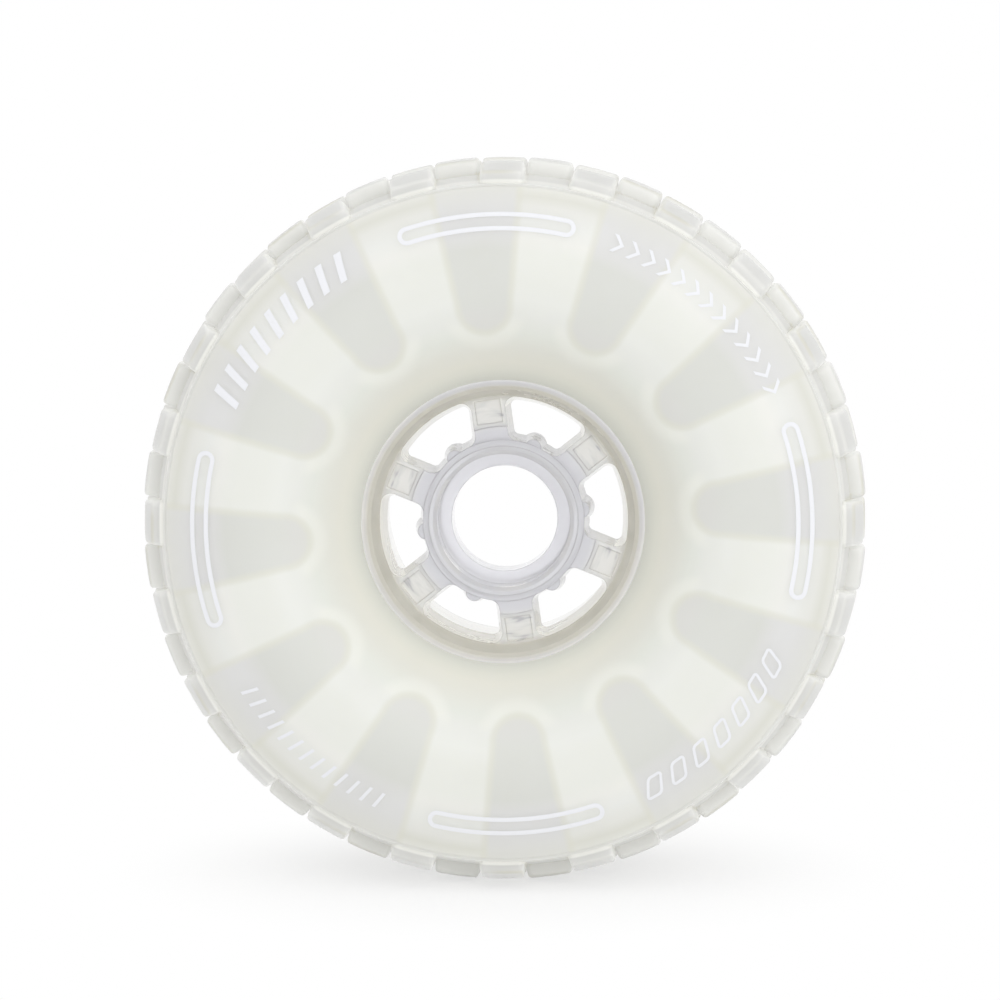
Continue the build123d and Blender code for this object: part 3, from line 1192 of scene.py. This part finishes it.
@dataclass
class Core:
    """The moulded core, which keeps its CAD mesh."""

    finish: ClearCore = field(default_factory=ClearCore)

    def dress(self) -> bpy.types.Object:
        """Gives the core its clear plastic.

        Returns:
            The core.
        """
        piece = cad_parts["hub_core"]
        piece.data.materials.clear()
        piece.data.materials.append(self.finish.material())
        return piece


class MarkStyle(Enum):
    """How one printed mark is drawn."""

    LOOP = "outlined bar with rounded corners"
    BAR = "solid slanted bar"
    CHEVRON = "arrowhead of two strokes"


@dataclass(frozen=True)
class MarkRow:
    """A row of equal marks along the wall (mm and degrees)."""

    style: MarkStyle
    first: float
    last: float
    count: int
    height: float
    line: float
    length: float = 0.0
    slant: float = 0.0
    corner: float = 0.0
    radius: float = 48.9

    def path(self) -> np.ndarray:
        """The middle line of one mark's stroke.

        A bar is along = slant * v / height over its height v, and a chevron is
        along = length * (1/2 - 2 |v| / height). A loop is four straight runs joined by
        quarter circles, sheared by the slant.

        Returns:
            (n, 2) points (along, outwards) in the mark's own plane.
        """
        v = np.linspace(-self.height / 2, self.height / 2, 5)
        if self.style is MarkStyle.BAR:
            return np.stack([self.slant * v / self.height, v], axis=-1)
        if self.style is MarkStyle.CHEVRON:
            return np.stack([self.length * (0.5 - 2 * np.abs(v) / self.height), v], axis=-1)
        half_run = (self.length - self.line) / 2 - self.corner
        half_rise = (self.height - self.line) / 2 - self.corner
        run = np.linspace(-half_run, half_run, 40)
        bend = np.linspace(math.pi / 2, 0, 7)
        corner = self.corner * np.stack([np.cos(bend), np.sin(bend)], axis=-1)
        top = np.stack([run, np.full_like(run, half_rise + self.corner)], axis=-1)
        upper = corner[1:] + (half_run, half_rise)
        lower = corner[::-1] * (1, -1) + (half_run, -half_rise)
        shared = 1 if half_rise < 1e-6 else 0  # the point that a round end's corners share
        side = np.concatenate([upper, lower[shared:-1]])
        loop = np.concatenate([top, side, -top, -side])
        return loop + np.stack([self.slant * loop[:, 1] / self.height, np.zeros(len(loop))], axis=-1)


@dataclass
class PrintedMarks:
    """The white print on the front wall: capsules, bars and chevrons, one thin raised layer (mm)."""

    wall: Wall
    rise: float = 0.05
    sink: float = 0.04
    crease: float = 30.0
    rows: tuple[MarkRow, ...] = (
        MarkRow(MarkStyle.LOOP, 2.9, 272.9, 4, height=3.0, line=0.72, length=29.0, corner=1.14),
        MarkRow(MarkStyle.BAR, 122.0, 155.0, 9, height=4.6, line=1.25, slant=1.3),
        MarkRow(MarkStyle.CHEVRON, 27.0, 67.5, 13, height=2.9, line=0.7, length=1.4),
        MarkRow(MarkStyle.LOOP, -59.5, -27.0, 7, height=3.6, line=0.46, length=2.9, slant=1.9, corner=0.54),
        MarkRow(MarkStyle.BAR, 213.5, 246.0, 13, height=2.8, line=0.55, slant=0.8),
    )
    finish: WhiteInk = field(default_factory=WhiteInk)

    def strip(self, row: MarkRow) -> tuple[np.ndarray, np.ndarray]:
        """One mark's strip: a flat rectangle carried along its path.

        Args:
            row: the row whose mark it is.

        Returns:
            (n, 4, 3) points (along, outwards, above the wall), and its quads' corner numbers.
        """
        path = row.path()
        closed = row.style is MarkStyle.LOOP
        if closed:
            ahead = np.roll(path, -1, axis=0) - np.roll(path, 1, axis=0)
            side = np.stack([-ahead[:, 1], ahead[:, 0]], axis=-1)
            side /= np.linalg.norm(ahead, axis=1, keepdims=True)
        else:
            side = np.tile([-1.0, 0.0], (len(path), 1))
        left, right = path + side * row.line / 2, path - side * row.line / 2
        corners = np.stack([left, right, right, left], axis=1)
        depth = np.broadcast_to([self.rise, self.rise, -self.sink, -self.sink], corners.shape[:2])
        faces = grid_faces(len(path), 4, closed, True)
        if not closed:
            last = 4 * (len(path) - 1)
            faces = np.concatenate([faces, [[0, 1, 2, 3], [last + 3, last + 2, last + 1, last]]])
        return np.concatenate([corners, depth[..., None]], axis=-1), faces

    def build(self) -> bpy.types.Object:
        """Wraps every mark on to the wall as one mesh.

        The distance along the mark becomes a turn at the row's radius, the distance outwards
        adds to that radius, and the depth is counted from the wall's own height there.

        Returns:
            The print.
        """
        points, faces, count = [], [], 0
        for row in self.rows:
            mark, quads = self.strip(row)
            along, outwards, above = mark.reshape(-1, 3).T
            radius = row.radius + outwards
            y = self.wall.height(radius) - above
            for centre in np.linspace(row.first, row.last, row.count):
                points.append(turned(radius, y, centre - np.degrees(along / row.radius)))
                faces.append(quads + count)
                count += len(radius)
        finish = self.finish.material()
        points, faces = np.concatenate(points), np.concatenate(faces)
        return closed_object("printed_marks", points, faces, finish, self.crease)

    def dress(self) -> bpy.types.Object:
        """Builds the print and fixes it to the wheel.

        Returns:
            The print.
        """
        piece = self.build()
        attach(piece, BODY)
        return piece


# ---------------------------------------------------------------- the studio


@dataclass
class Studio:
    """A white sweep, soft light from above and in front, and the camera (metres, degrees, watts)."""

    floor_z: float
    floor_half: float = 3.0
    floor_white: float = 0.95
    shadow_reach: Span = (70.0, 10.0)  # millimetres from the wheel's middle
    shadow_share: float = 0.4
    aim: tuple[float, float, float] = (-0.00104, 0.0, 0.00253)
    distance: float = 0.577
    azimuth: float = 1.75
    elevation: float = 3.3
    lens: float = 122.9
    sensor: float = 36.0
    clip: tuple[float, float] = (0.01, 50.0)
    sky: float = 0.72

    def camera(self) -> None:
        """Stands the camera a little above the axle and to its right."""
        turn, lift = math.radians(self.azimuth), math.radians(self.elevation)
        away = Vector((math.sin(turn) * math.cos(lift), -math.cos(turn) * math.cos(lift), math.sin(lift)))
        data = bpy.data.cameras.new("camera")
        data.lens, data.sensor_width = self.lens, self.sensor
        data.clip_start, data.clip_end = self.clip
        camera = bpy.data.objects.new("camera", data)
        camera.location = Vector(self.aim) + away * self.distance
        camera.rotation_euler = (-away).to_track_quat("-Z", "Y").to_euler()
        bpy.context.scene.collection.objects.link(camera)
        bpy.context.scene.camera = camera

    def lamp(self, name: str, place: tuple[float, float, float], size: float, power: float) -> None:
        """Adds a square softbox aimed at the wheel.

        Args:
            name: the lamp's name.
            place: where it stands.
            size: its side.
            power: its power.
        """
        data = bpy.data.lights.new(name, "AREA")
        data.shape, data.size, data.energy = "SQUARE", size, power
        lamp = bpy.data.objects.new(name, data)
        lamp.location = place
        lamp.rotation_euler = (-Vector(place)).to_track_quat("-Z", "Y").to_euler()
        bpy.context.scene.collection.objects.link(lamp)

    @staticmethod
    def rays(tree: Tree) -> tuple[Value, Value]:
        """Tells rays apart.

        Args:
            tree: the tree that asks.

        Returns:
            1 for camera rays, and 1 for rays that a gloss or a clear piece sends on.
        """
        path = tree.add("ShaderNodeLightPath").socket.node
        kinds = ("Is Camera Ray", "Is Glossy Ray", "Is Transmission Ray")
        camera, gloss, through = (Value(tree, path.outputs[kind]) for kind in kinds)
        return camera, gloss.most(through)

    def world(self) -> None:
        """White to the eye and in reflections, paler as a light."""
        world = bpy.data.worlds.new("sweep")
        tree = Tree(world)
        camera, sent_on = self.rays(tree)
        strength = self.sky + (1 - self.sky) * camera.most(sent_on)
        light = tree.add("ShaderNodeBackground", {}, {"Color": (1, 1, 1, 1), "Strength": strength})
        tree.add("ShaderNodeOutputWorld", {}, {"Surface": light})
        bpy.context.scene.world = world

    def floor(self) -> None:
        """A white floor that fades into the white around it and keeps the wheel's shadow."""
        tree = Tree(bpy.data.materials.new("floor"))
        _vector, x, y, _z = tree.place()
        near = (x * x + y * y).root().ramp(*self.shadow_reach)
        matt = tree.add("ShaderNodeBsdfDiffuse", {}, {"Color": (*[self.floor_white] * 3, 1.0)})
        plain = tree.add("ShaderNodeEmission", {}, {"Color": (1, 1, 1, 1), "Strength": 1.0})
        camera, sent_on = self.rays(tree)
        share = sent_on.most(camera * (1.0 - self.shadow_share * near))
        shader = tree.add("ShaderNodeMixShader", {}, {0: share, 1: matt, 2: plain})
        tree.add("ShaderNodeOutputMaterial", {}, {"Surface": shader})
        half, signs = self.floor_half, ((-1, -1), (1, -1), (1, 1), (-1, 1))
        mesh = bpy.data.meshes.new("floor")
        mesh.from_pydata([(half * a, half * b, self.floor_z) for a, b in signs], [], [(0, 1, 2, 3)])
        mesh.materials.append(tree.owner)
        floor = bpy.data.objects.new("floor", mesh)
        bpy.context.scene.collection.objects.link(floor)

    def build(self) -> None:
        """Sets up the view, the light and the floor."""
        bpy.context.scene.view_settings.view_transform = "Standard"
        self.camera()
        self.world()
        self.floor()
        self.lamp("overhead", place=(0.15, -0.45, 1.1), size=0.9, power=1.2)
        self.lamp("front", place=(0.45, -1.25, 0.45), size=0.9, power=4.3)


def main() -> None:
    """Builds the studio and the wheel's pieces in order, and reports each."""
    logging.basicConfig(level=logging.INFO, format="%(name)s: %(message)s")
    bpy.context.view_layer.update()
    _body_low, body_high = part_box("tyre_body")
    band_low, band_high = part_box("tread_band")
    joint = body_high.x / MM
    wall = Wall()
    Studio(floor_z=band_low.z).build()
    pieces = [
        Core(),
        TyreBody(wall, half_width=body_high.y / MM, outer_radius=joint),
        TreadBand(inner_radius=joint, outer_radius=band_high.x / MM, half_width=band_high.y / MM),
        PrintedMarks(wall),
    ]
    for maker in pieces:
        piece = maker.dress()
        log.info("%s: %d faces", piece.name, len(piece.data.polygons))


if __name__ == "__main__":
    main()
